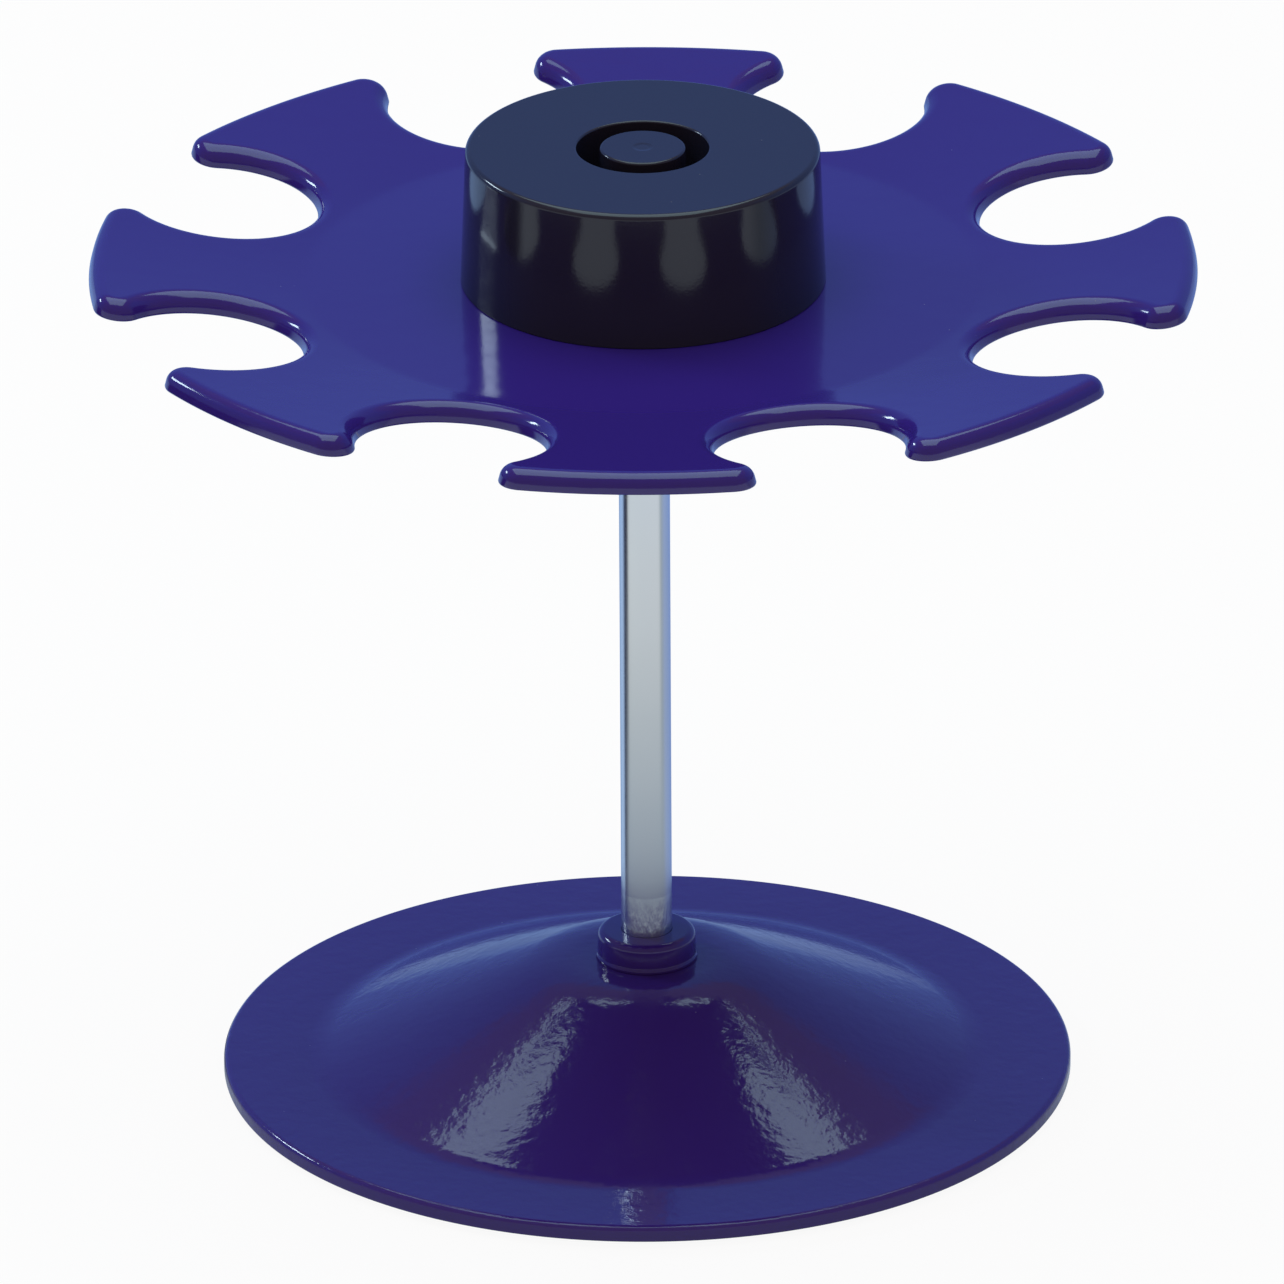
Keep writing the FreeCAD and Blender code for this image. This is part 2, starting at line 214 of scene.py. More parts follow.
def turned_piece(name, corners, around, finest):
    """Closed piece turned about Z from a rounded profile, with exact normals on its faces' corners."""
    segments = rounded_profile(corners, finest)
    on_axis = 1e-9
    rings = []
    points = []
    for one, two, start, end in segments:
        if one.x < on_axis:
            rings.append([len(points)] * around)
            points.append((0.0, 0.0, one.y))
            continue
        rings.append(list(range(len(points), len(points) + around)))
        for step in range(around):
            angle = 2 * math.pi * step / around
            points.append((one.x * math.cos(angle), one.x * math.sin(angle), one.y))
    faces = []
    normals = []
    for index, (one, two, start, end) in enumerate(segments):
        if one.x < on_axis and two.x < on_axis:
            continue
        low = rings[index]
        high = rings[(index + 1) % len(rings)]
        for step in range(around):
            after = (step + 1) % around
            kept = []
            for entry in ((low[step], start, step), (low[after], start, step + 1),
                          (high[after], end, step + 1), (high[step], end, step)):
                if entry[0] not in [vertex for vertex, normal, spoke in kept]:
                    kept.append(entry)
            faces.append([vertex for vertex, normal, spoke in kept])
            for vertex, normal, spoke in kept:
                angle = 2 * math.pi * (spoke if len(kept) == 4 else step + 0.5) / around
                normals.append((normal.x * math.cos(angle), normal.x * math.sin(angle), normal.y))
    mesh = bpy.data.meshes.new(name)
    mesh.from_pydata(points, [], faces)
    mesh.polygons.foreach_set("use_smooth", [True] * len(mesh.polygons))
    mesh.update()
    mesh.normals_split_custom_set(normals)
    return new_object(name, mesh)


def smooth_and_outward(mesh):
    """Shade a closed mesh smooth, with its faces pointing out."""
    builder = bmesh.new()
    builder.from_mesh(mesh)
    bmesh.ops.recalc_face_normals(builder, faces=builder.faces)
    for face in builder.faces:
        face.smooth = True
    builder.to_mesh(mesh)
    builder.free()


# Nodes that groups, finishes and the stage are made of

def node_group(name, kind, inputs, outputs):
    """New node group with its named sockets, and its input and output nodes."""
    group = bpy.data.node_groups.new(name, kind)
    for label, socket_kind, value in inputs:
        socket = group.interface.new_socket(label, in_out="INPUT", socket_type="NodeSocket" + socket_kind)
        if value is not None:
            socket.default_value = value
    for label, socket_kind in outputs:
        group.interface.new_socket(label, in_out="OUTPUT", socket_type="NodeSocket" + socket_kind)
    return group, group.nodes.new("NodeGroupInput"), group.nodes.new("NodeGroupOutput")


def feed(tree, socket, value):
    """Link an output to an input, or give the input a fixed number or color."""
    if isinstance(value, bpy.types.NodeSocket):
        tree.links.new(value, socket)
    elif isinstance(value, tuple):
        socket.default_value = (*value, 1.0)
    else:
        socket.default_value = value


def calculated(tree, operation, *values):
    """Result of a math operation on numbers and sockets."""
    node = tree.nodes.new("ShaderNodeMath")
    node.operation = operation
    for socket, value in zip(node.inputs, values):
        feed(tree, socket, value)
    return node.outputs[0]


def ranged(tree, value, start, stop, low=0.0, high=1.0):
    """Value that goes from low to high, and no further, while another goes from start to stop."""
    node = tree.nodes.new("ShaderNodeMapRange")
    node.inputs["From Min"].default_value = start
    node.inputs["From Max"].default_value = stop
    node.inputs["To Min"].default_value = low
    node.inputs["To Max"].default_value = high
    tree.links.new(value, node.inputs["Value"])
    return node.outputs["Result"]


def mixed_color(tree, factor, first, second, blend="MIX"):
    """Color between two fixed or linked colors by a factor socket."""
    mix = tree.nodes.new("ShaderNodeMix")
    mix.data_type = "RGBA"
    mix.blend_type = blend
    feed(tree, mix.inputs["A"], first)
    feed(tree, mix.inputs["B"], second)
    tree.links.new(factor, mix.inputs["Factor"])
    return mix.outputs["Result"]


def mixed_shader(tree, factor, first, second):
    """Shader between those of two nodes by a factor socket."""
    mix = tree.nodes.new("ShaderNodeMixShader")
    tree.links.new(factor, mix.inputs["Fac"])
    tree.links.new(first.outputs[0], mix.inputs[1])
    tree.links.new(second.outputs[0], mix.inputs[2])
    return mix


def object_place(tree):
    """Place on the piece, in metres from the object's origin."""
    return tree.nodes.new("ShaderNodeTexCoord").outputs["Object"]


def components(tree, vector):
    """Outputs X, Y and Z of a vector socket."""
    node = tree.nodes.new("ShaderNodeSeparateXYZ")
    tree.links.new(vector, node.inputs["Vector"])
    return node.outputs


def noise(tree, place, scale, detail):
    """Noise between 0 and 1 over a place, at a fixed or linked scale."""
    node = tree.nodes.new("ShaderNodeTexNoise")
    feed(tree, node.inputs["Vector"], place)
    feed(tree, node.inputs["Scale"], scale)
    feed(tree, node.inputs["Detail"], detail)
    return node.outputs["Fac"]


# Geometry Nodes: copies of one element round the post

def ring_of_copies_tree():
    """Node tree that turns a number of copies of the element about Z, joins them and gives them a finish."""
    tree, given, result = node_group("Ring Of Copies", "GeometryNodeTree", [
        ("Element", "Geometry", None),
        ("Count", "Int", 8),
        ("First Angle", "Float", 0.0),
        ("Seam Width", "Float", 0.0),
        ("Finish", "Material", None),
    ], [("Geometry", "Geometry")])
    nodes = tree.nodes
    link = tree.links.new
    points = nodes.new("GeometryNodePoints")
    index = nodes.new("GeometryNodeInputIndex")
    share = calculated(tree, "DIVIDE", index.outputs["Index"], given.outputs["Count"])
    turn = calculated(tree, "MULTIPLY_ADD", share, 2 * math.pi, given.outputs["First Angle"])
    euler = nodes.new("ShaderNodeCombineXYZ")
    rotation = nodes.new("FunctionNodeEulerToRotation")
    copies = nodes.new("GeometryNodeInstanceOnPoints")
    real = nodes.new("GeometryNodeRealizeInstances")
    joined = nodes.new("GeometryNodeMergeByDistance")
    painted = nodes.new("GeometryNodeSetMaterial")
    link(given.outputs["Count"], points.inputs["Count"])
    link(turn, euler.inputs["Z"])
    link(euler.outputs[0], rotation.inputs["Euler"])
    link(points.outputs[0], copies.inputs["Points"])
    link(given.outputs["Element"], copies.inputs["Instance"])
    link(rotation.outputs[0], copies.inputs["Rotation"])
    link(copies.outputs[0], real.inputs[0])
    link(real.outputs[0], joined.inputs["Geometry"])
    link(given.outputs["Seam Width"], joined.inputs["Distance"])
    link(joined.outputs[0], painted.inputs["Geometry"])
    link(given.outputs["Finish"], painted.inputs["Material"])
    link(painted.outputs[0], result.inputs["Geometry"])
    return tree


ring_tree = ring_of_copies_tree()


def copies_round(name, element, **values):
    """Plain mesh object of an element repeated round Z by the node tree, with values for its named inputs."""
    holder = new_object(name + "_element", element)
    modifier = holder.modifiers.new("Ring", "NODES")
    modifier.node_group = ring_tree
    for item in ring_tree.interface.items_tree:
        label = item.name.replace(" ", "_")
        if item.in_out == "INPUT" and label in values:
            modifier[item.identifier] = values[label]
    seen = holder.evaluated_get(bpy.context.evaluated_depsgraph_get())
    mesh = bpy.data.meshes.new_from_object(seen)
    mesh.name = name
    bpy.data.objects.remove(holder)
    return new_object(name, mesh)


# Star plate

def plan_point(angle, radius):
    """Plan point at an angle from X and a distance from the post's axis."""
    return Vector((math.cos(angle), math.sin(angle))) * radius


def mirrored(vector):
    """Plan vector mirrored in the X axis."""
    return Vector((vector.x, -vector.y))


def heading(vector):
    """Angle of a plan vector."""
    return math.atan2(vector.y, vector.x)


def star_centres():
    """Centres of the end arc of the arm along X, of the slot beside it and of the lip between the two."""
    end_centre = Vector((star_radius - arm_end_radius, 0.0))
    slot_centre = plan_point(math.pi / slot_count, slot_centre_radius)
    to_end = end_centre - slot_centre
    from_slot = slot_radius + lip_radius
    from_end = arm_end_radius - lip_radius
    along = (from_slot ** 2 - from_end ** 2 + to_end.length ** 2) / (2 * to_end.length)
    across = math.sqrt(from_slot ** 2 - along ** 2)
    direction = to_end.normalized()
    sideways = Vector((direction.y, -direction.x))
    meetings = [slot_centre + direction * along + sideways * side * across for side in (-1, 1)]
    return end_centre, slot_centre, min(meetings, key=lambda meeting: meeting.y)


def arc_points(centre, radius, start, sweep, steps):
    """Points and outward directions along an arc, without its last one."""
    spokes = [plan_point(start + sweep * step / steps, 1.0) for step in range(steps)]
    return [(centre + spoke * radius, spoke) for spoke in spokes]


def half_outline():
    """Outline from an arm's middle to the next slot's middle: points, and normals out of the metal."""
    end_centre, slot_centre, lip_centre = star_centres()
    end_steps, lip_steps, slot_steps = 15, 22, 34
    lip_start = heading(lip_centre - end_centre)
    outline = arc_points(end_centre, arm_end_radius, 0.0, lip_start, end_steps)
    lip_end = heading(slot_centre - lip_centre)
    sweep = (lip_end - lip_start) % (2 * math.pi)
    outline += arc_points(lip_centre, lip_radius, lip_start, sweep, lip_steps)
    slot_start = heading(lip_centre - slot_centre)
    slot_end = heading(-slot_centre)
    sweep = (slot_end - slot_start) % (2 * math.pi)
    if sweep > math.pi:
        sweep -= 2 * math.pi
    inner = arc_points(slot_centre, slot_radius, slot_start, sweep, slot_steps)
    inner.append((slot_centre * (1 - slot_radius / slot_centre.length), -slot_centre.normalized()))
    outline += [(point, -spoke) for point, spoke in inner]
    return outline


def dish_height(point):
    """Height of the star's top face at a plan point: flat seat, a short bend, then the slope of the arms."""
    slope = star_rise / (star_radius - star_seat_radius)
    beyond = point.length - star_seat_radius
    bend = crease_half_width
    if beyond >= bend:
        rise = slope * beyond
    elif beyond > -bend:
        rise = slope * (beyond + bend) ** 2 / (4 * bend)
    else:
        rise = 0.0
    return hub_low.z + rise


def quarter_turn(steps):
    """Sines and cosines at even steps through a quarter turn."""
    angles = [math.pi / 2 * step / steps for step in range(steps + 1)]
    return [(math.sin(angle), math.cos(angle)) for angle in angles]


def edge_section():
    """(inset, drop) pairs from the top face over the rolled edge, down its flange and under the sheet."""
    roll_steps = 12
    big = star_edge_rounding
    small = edge_tip_rounding
    fillet = edge_inner_fillet
    roll = math.pi / 2 - edge_flare
    rolled = []
    for step in range(roll_steps + 1):
        angle = roll * step / roll_steps
        rolled.append((big * math.sin(angle), big * (1 - math.cos(angle))))
    flange_drop = star_edge_height - small
    outermost = rolled[-1][0] + (flange_drop - rolled[-1][1]) * math.tan(edge_flare)
    pairs = [(outermost + strip, 0.0) for strip in edge_top_strips]
    pairs += [(outermost - out, drop) for out, drop in rolled]
    for sine, cosine in quarter_turn(4):
        pairs.append((small * (1 - cosine), flange_drop + small * sine))
    for sine, cosine in quarter_turn(3):
        pairs.append((star_sheet - small * (1 - sine), star_edge_height - small * (1 - cosine)))
    for sine, cosine in quarter_turn(4):
        pairs.append((star_sheet + fillet * (1 - cosine), star_sheet + fillet * (1 - sine)))
    pairs.append((star_sheet + fillet + edge_under_strip, star_sheet))
    return pairs


def clear_inside(point, border, gap):
    """Whether a plan point lies inside a closed border, with a gap to the border's nearest point."""
    inside = False
    last = border[-1]
    for this in border:
        if (this.y > point.y) != (last.y > point.y):
            if point.x < (last.x - this.x) * (point.y - this.y) / (last.y - this.y) + this.x:
                inside = not inside
        last = this
    return inside and min((point - other).length for other in border) > gap


def fill_plan(border, crease):
    """Points and triangles over a closed plan border, with the crease's points and a grid inside it."""
    across = [point.x for point in border]
    along = [point.y for point in border]
    crease_gap = crease_half_width + 0.5 * grid_spacing
    inside = [point for point in crease if clear_inside(point, border, crease_border_gap)]
    row = 0
    y = min(along)
    while y < max(along):
        x = min(across) + (grid_spacing / 2 if row % 2 else 0.0)
        while x < max(across):
            point = Vector((x, y))
            off_crease = abs(point.length - star_seat_radius) > crease_gap
            if off_crease and clear_inside(point, border, grid_border_gap):
                inside.append(point)
            x += grid_spacing
        y += grid_spacing * math.sqrt(3) / 2
        row += 1
    rim = [(index, (index + 1) % len(border)) for index in range(len(border))]
    found = delaunay_2d_cdt(border + inside, rim, [], 1, 1e-9)
    return found[0], found[2]


def crease_points(radii):
    """Plan points of one arm's rows along the crease, off its seams."""
    half_pitch = math.pi / slot_count
    result = []
    for radius in radii:
        count = int(2 * half_pitch * radius / crease_spacing)
        for step in range(count):
            result.append(plan_point(half_pitch * (2 * (step + 0.5) / count - 1), radius))
    return result


def sheet_border(edge, radii):
    """Plan border of one arm's sheet: its edge, one seam, the hole's rim and the other seam.

    The second result is the part of the border that lies on the hole."""
    half_pitch = math.pi / slot_count
    hole = bush_radius + star_hole_clearance
    reaches = [radius for radius in radii if radius < edge[-1].length - seam_end_gap]
    innermost = reaches[-1]
    seam_steps = int((innermost - hole) / seam_spacing)
    reaches += [innermost - (innermost - hole) * step / seam_steps for step in range(1, seam_steps + 1)]
    seam = [plan_point(half_pitch, reach) for reach in reaches]
    rim = []
    for step in range(1, hole_rim_steps):
        rim.append(plan_point(half_pitch - 2 * half_pitch * step / hole_rim_steps, hole))
    other_seam = [mirrored(point) for point in reversed(seam)]
    first = len(edge) + len(seam) - 1
    return edge + seam + rim + other_seam, slice(first, first + len(rim) + 2)


def star_sector():
    """One arm of the star, from the middle of one slot to the middle of the next, open at its two seams."""
    half = half_outline()
    other_half = [(mirrored(point), mirrored(normal)) for point, normal in half[1:]]
    outline = list(reversed(other_half)) + half
    points = []
    faces = []
    strips = []
    for inset, drop in edge_section():
        strips.append(list(range(len(points), len(points) + len(outline))))
        for point, normal in outline:
            moved = point - normal * inset
            points.append((moved.x, moved.y, dish_height(moved) - drop))
    for upper, lower in zip(strips, strips[1:]):
        for index in range(len(upper) - 1):
            faces.append((upper[index], lower[index], lower[index + 1], upper[index + 1]))
    radii = [star_seat_radius + crease_half_width * row for row in crease_rows]
    crease = crease_points(radii)
    hole_rims = []
    for strip, drop, up in ((strips[0], 0.0, True), (strips[-1], star_sheet, False)):
        edge = [Vector(points[index][:2]) for index in strip]
        border, on_hole = sheet_border(edge, radii)
        places, triangles = fill_plan(border, crease)
        numbers = strip + list(range(len(points), len(points) + len(places) - len(strip)))
        for place in places[len(strip):]:
            points.append((place.x, place.y, dish_height(Vector(place)) - drop))
        hole_rims.append(numbers[on_hole])
        for triangle in triangles:
            order = triangle if up else tuple(reversed(triangle))
            faces.append(tuple(numbers[index] for index in order))
    upper, lower = hole_rims
    for index in range(len(upper) - 1):
        faces.append((upper[index], upper[index + 1], lower[index + 1], lower[index]))
    mesh = bpy.data.meshes.new("star_sector")
    mesh.from_pydata(points, [], faces)
    mesh.update()
    return mesh


# Shader groups that several finishes share

def paint_ripple_group():
    """Orange-peel height of a sprayed or moulded gloss surface: a coarse swell and a finer ripple."""
    group, given, result = node_group("Paint Ripple", "ShaderNodeTree", [
        ("Swell Size", "Float", 180.0),
        ("Ripple Size", "Float", 700.0),
        ("Ripple Share", "Float", 0.3),
    ], [("Height", "Float")])
    place = object_place(group)
    mixed = group.nodes.new("ShaderNodeMix")
    mixed.data_type = "FLOAT"
    feed(group, mixed.inputs["Factor"], given.outputs["Ripple Share"])
    feed(group, mixed.inputs["A"], noise(group, place, given.outputs["Swell Size"], 1.0))
    feed(group, mixed.inputs["B"], noise(group, place, given.outputs["Ripple Size"], 2.0))
    feed(group, result.inputs["Height"], mixed.outputs["Result"])
    return group


def fine_dust_group():
    """Mask of sparse specks of dust, denser on faces that look up."""
    speck_core = 0.05
    speck_edge = 0.16
    group, given, result = node_group("Fine Dust", "ShaderNodeTree", [
        ("Speck Size", "Float", 900.0),
        ("Amount", "Float", 0.1),
    ], [("Specks", "Float")])
    cells = group.nodes.new("ShaderNodeTexVoronoi")
    cells.feature = "F1"
    feed(group, cells.inputs["Vector"], object_place(group))
    feed(group, cells.inputs["Scale"], given.outputs["Speck Size"])
    speck = ranged(group, cells.outputs["Distance"], speck_core, speck_edge, 1.0, 0.0)
    split = group.nodes.new("ShaderNodeSeparateColor")
    feed(group, split.inputs["Color"], cells.outputs["Color"])
    chosen = calculated(group, "LESS_THAN", split.outputs["Red"], given.outputs["Amount"])
    geometry = group.nodes.new("ShaderNodeNewGeometry")
    upward = ranged(group, components(group, geometry.outputs["Normal"])["Z"], 0.1, 0.9)
    specks = calculated(group, "MULTIPLY", calculated(group, "MULTIPLY", speck, chosen), upward)
    feed(group, result.inputs["Specks"], specks)
    return group


def drawn_metal_group():
    """Fine lines along the Z axis, as drawing or turning leaves them, and slow patches."""
    group, given, result = node_group("Drawn Metal", "ShaderNodeTree", [
        ("Across Scale", "Float", 2500.0),
        ("Along Scale", "Float", 30.0),
        ("Patch Scale", "Float", 60.0),
    ], [("Lines", "Float"), ("Patches", "Float")])
    place = object_place(group)
    stretch = group.nodes.new("ShaderNodeCombineXYZ")
    feed(group, stretch.inputs["X"], given.outputs["Across Scale"])
    feed(group, stretch.inputs["Y"], given.outputs["Across Scale"])
    feed(group, stretch.inputs["Z"], given.outputs["Along Scale"])
    scaled = group.nodes.new("ShaderNodeVectorMath")
    scaled.operation = "MULTIPLY"
    feed(group, scaled.inputs[0], place)
    feed(group, scaled.inputs[1], stretch.outputs[0])
    feed(group, result.inputs["Lines"], noise(group, scaled.outputs[0], 1.0, 3.0))
    feed(group, result.inputs["Patches"], noise(group, place, given.outputs["Patch Scale"], 2.0))
    return group


paint_ripple = paint_ripple_group()
fine_dust = fine_dust_group()
drawn_metal = drawn_metal_group()


def place_group(tree, group, **values):
    """Outputs of a shader group placed in a material, with values for its named inputs."""
    node = tree.nodes.new("ShaderNodeGroup")
    node.node_tree = group
    for label, value in values.items():
        node.inputs[label.replace("_", " ")].default_value = value
    return node.outputs


# Finishes

def new_finish(name, color, roughness, metallic=0.0):
    """Material with a Principled shader, its node tree and that shader."""
    material = bpy.data.materials.new(name)
    material.use_nodes = True
    shader = material.node_tree.nodes["Principled BSDF"]
    shader.inputs["Base Color"].default_value = (*color, 1.0)
    shader.inputs["Roughness"].default_value = roughness
    shader.inputs["Metallic"].default_value = metallic
    return material, material.node_tree, shader


def bump_from(tree, height, distance, shader):
    """Bump of a distance from a height socket to the shader's normal."""
    bump = tree.nodes.new("ShaderNodeBump")
    bump.inputs["Strength"].default_value = 1.0
    bump.inputs["Distance"].default_value = distance
    feed(tree, bump.inputs["Height"], height)
    feed(tree, shader.inputs["Normal"], bump.outputs["Normal"])


def settle_dust(tree, shader, color, gloss, dust_color):
    """A few specks of dust on a gloss finish, in their own color and rough."""
    dust_roughness = 0.5
    specks = place_group(tree, fine_dust, Speck_Size=1300.0, Amount=0.006)["Specks"]
    feed(tree, shader.inputs["Base Color"], mixed_color(tree, specks, color, dust_color))
    feed(tree, shader.inputs["Roughness"], ranged(tree, specks, 0.0, 1.0, gloss, dust_roughness))


def blue_enamel(name, blue, wave, ripple_share):
    """Deep cobalt gloss enamel with an orange peel of a height and a share of fine ripple, and dust."""
    gloss = 0.11
    material, tree, shader = new_finish(name, blue, gloss)
    ripple = place_group(tree, paint_ripple, Swell_Size=230.0, Ripple_Size=800.0, Ripple_Share=ripple_share)
    bump_from(tree, ripple["Height"], wave, shader)
    settle_dust(tree, shader, blue, gloss, (0.10, 0.10, 0.24))
    return material


def black_plastic():
    """Moulded black plastic, glossy, with a faint skin texture and a little dust."""
    black = (0.016, 0.015, 0.027)
    gloss = 0.12
    material, tree, shader = new_finish("black_plastic", black, gloss)
    shader.inputs["Specular IOR Level"].default_value = 0.45
    ripple = place_group(tree, paint_ripple, Swell_Size=120.0, Ripple_Size=2500.0, Ripple_Share=0.5)
    bump_from(tree, ripple["Height"], 0.012 * MM, shader)
    settle_dust(tree, shader, black, gloss, (0.08, 0.08, 0.09))
    return material


def handling_marks(tree, below):
    """Height of marks that begin below a level and are full a little further down."""
    fade = 5 * MM
    marks = place_group(tree, drawn_metal, Across_Scale=1500.0, Along_Scale=420.0)
    level = components(tree, object_place(tree))["Z"]
    return calculated(tree, "MULTIPLY", ranged(tree, level, below, below - fade), marks["Lines"])


def metal_finish(name, color, dark, roughness, across, along, depth, marked_below=None):
    """Plated or bare metal with fine lines, slow patches of roughness and handling marks below a level."""
    mark_strength = 30.0
    material, tree, shader = new_finish(name, color, roughness[0], 1.0)
    drawn = place_group(tree, drawn_metal, Across_Scale=across, Along_Scale=along)
    feed(tree, shader.inputs["Base Color"], mixed_color(tree, drawn["Patches"], dark, color))
    feed(tree, shader.inputs["Roughness"], ranged(tree, drawn["Patches"], 0.0, 1.0, *roughness))
    height = drawn["Lines"]
    if marked_below is not None:
        height = calculated(tree, "MULTIPLY_ADD", handling_marks(tree, marked_below), mark_strength, height)
    bump_from(tree, height, depth, shader)
    return material


def plain_plastic(name, color, dark, roughness):
    """Plain moulded plastic with slight patches and a fine skin."""
    material, tree, shader = new_finish(name, color, roughness)
    skin = place_group(tree, paint_ripple, Swell_Size=300.0, Ripple_Size=3000.0, Ripple_Share=0.6)
    feed(tree, shader.inputs["Base Color"], mixed_color(tree, skin["Height"], dark, color))
    bump_from(tree, skin["Height"], 0.02 * MM, shader)
    return material


def felt():
    """Pressed black felt with a fibrous surface."""
    material, tree, shader = new_finish("felt", (0.03, 0.03, 0.032), 0.95)
    shader.inputs["Sheen Weight"].default_value = 0.4
    fibres = place_group(tree, drawn_metal, Across_Scale=1800.0, Along_Scale=1800.0, Patch_Scale=900.0)
    color = mixed_color(tree, fibres["Lines"], (0.012, 0.012, 0.013), (0.06, 0.06, 0.063))
    feed(tree, shader.inputs["Base Color"], color)
    bump_from(tree, fibres["Lines"], 0.1 * MM, shader)
    return material


# Pieces; a profile's corners are (radius, height, rounding)

def finished(piece, finish, body, slot, *nodes):
    """Gives a piece its finish, lets it ride on its body and stand for its nodes; its slot is not used."""
    if finish.name not in [material.name for material in piece.data.materials if material]:
        piece.data.materials.clear()
        piece.data.materials.append(finish)
    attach(piece, body)
    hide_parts(*nodes)


def base_dish():
    """Foot: flat brim, rounded cone and plateau."""
    brim_top = dish_low.z + base_sheet
    underside = dish_high.z - base_sheet
    slope = math.atan2(dish_high.z - brim_top, cone_foot_radius - plateau_radius)
    shift = base_sheet * math.tan(slope / 2)
    hole = stud_radius + dish_hole_clearance
    return turned_piece("foot_dish", [
        (dish_high.x, dish_low.z, rim_bottom_rounding),
        (dish_high.x, brim_top, rim_top_rounding),
        (cone_foot_radius, brim_top, cone_foot_rounding),
        (plateau_radius, dish_high.z, plateau_rounding),
        (hole, dish_high.z, dish_hole_rounding),
        (hole, underside, dish_hole_rounding),
        (plateau_radius - shift, underside, plateau_rounding - base_sheet),
        (cone_foot_radius - shift, dish_low.z, cone_foot_rounding + base_sheet),
    ], around=256, finest=6)


def collar():
    """Painted ring at the foot of the post, with a bead at its own foot."""
    bore = post_high.x + collar_post_gap
    return turned_piece("foot_collar", [
        (bore, collar_low.z, 0),
        (collar_high.x, collar_low.z, edge_break),
        (collar_high.x, collar_low.z + collar_bead, collar_bead_rounding),
        (collar_high.x - collar_bead * 0.5, collar_low.z + 1.8 * collar_bead, collar_waist_rounding),
        (collar_high.x - collar_bead * 0.7, collar_high.z, collar_top_rounding),
        (bore, collar_high.z, collar_bore_rounding),
    ], around=160, finest=8)


def hub():
    """Round hub cap with its pocket and the sleeve under it, hollow underneath."""
    bore = bush_radius + bore_clearance
    roof = hub_high.z - hub_roof
    pocket_floor = hub_low.z + hub_floor
    sleeve = pocket_radius + sleeve_wall
    return turned_piece("hub_cap_shell", [
        (hub_high.x, hub_low.z, hub_foot_rounding),
        (hub_top_radius, hub_high.z, hub_rim_rounding),
        (pocket_radius, hub_high.z, pocket_rim_rounding),
        (pocket_radius, pocket_floor, pocket_floor_rounding),
        (bore, pocket_floor, edge_break),
        (bore, hub_low.z, edge_break),
        (sleeve, hub_low.z, edge_break),
        (sleeve, roof, hub_hollow_rounding),
        (hub_top_radius - hub_wall, roof, hub_hollow_rounding),
        (hub_high.x - hub_wall, hub_low.z, edge_break),
    ], around=224, finest=6)


def button():
    """Cap on the post's end, with a shallow moulding mark in its top."""
    bore = post_high.x + bore_clearance
    mark_floor = button_high.z - mark_depth
    return turned_piece("post_button", [
        (bore, button_low.z, edge_break),
        (button_high.x, button_low.z, button_foot_rounding),
        (button_high.x, button_high.z, button_rim_rounding),
        (mark_rim_radius, button_high.z, mark_rounding),
        (mark_floor_radius, mark_floor, mark_rounding),
        (0.0, mark_floor, 0),
        (0.0, post_high.z, 0),
        (bore, post_high.z, edge_break),
    ], around=96, finest=4)


def post():
    """Plated rod with its clip grooves and chamfered end, down to the core of its stud."""
    radius = post_high.x
    groove = radius - clip_groove_depth
    core = stud_radius - thread_depth
    core_foot = dish_high.z - base_sheet
    corners = [
        (0.0, core_foot, 0),
        (core, core_foot, 0),
        (core, dish_high.z, 0),
        (radius, dish_high.z, edge_break),
    ]
    for clip_low, clip_high in ((lower_clip_low, lower_clip_high), (upper_clip_low, upper_clip_high)):
        low = clip_low.z - clip_groove_clearance
        high = clip_high.z + clip_groove_clearance
        for reach, height in ((radius, low), (groove, low), (groove, high), (radius, high)):
            corners.append((reach, height, clip_groove_rounding))
    corners.append((radius, post_high.z - post_end_chamfer, post_end_rounding))
    corners.append((radius - post_end_chamfer, post_high.z, post_end_rounding))
    corners.append((0.0, post_high.z, 0))
    return turned_piece("post_rod", corners, around=96, finest=3)


def threaded_stud():
    """Stud below the post: a core whose surface rises and falls along a helix, fading out at its tip."""
    top = dish_high.z - thread_runout
    bottom = post_low.z
    around = 48
    rows_per_turn = 10
    rows = int((top - bottom) / thread_pitch * rows_per_turn)
    builder = bmesh.new()
    rings = []
    for row in range(rows + 1):
        height = bottom + (top - bottom) * row / rows
        full = min(height - bottom, thread_pitch) / thread_pitch
        ring = []
        for step in range(around):
            angle = 2 * math.pi * step / around
            phase = ((height - bottom) / thread_pitch - step / around) % 1.0
            crest = min(1.0, thread_fullness * (1 - abs(2 * phase - 1)))
            radius = stud_radius - thread_depth + thread_depth * crest * full
            radius -= stud_tip_taper * (1 - full)
            ring.append(builder.verts.new((radius * math.cos(angle), radius * math.sin(angle), height)))
        rings.append(ring)
    for low, high in zip(rings, rings[1:]):
        for step in range(around):
            after = (step + 1) % around
            builder.faces.new((low[step], low[after], high[after], high[step]))
    builder.faces.new(list(reversed(rings[0])))
    builder.faces.new(rings[-1])
    mesh = bpy.data.meshes.new("post_stud")
    builder.to_mesh(mesh)
    builder.free()
    smooth_and_outward(mesh)
    return new_object("post_stud", mesh)


# Stage: floor, lamps, world and camera

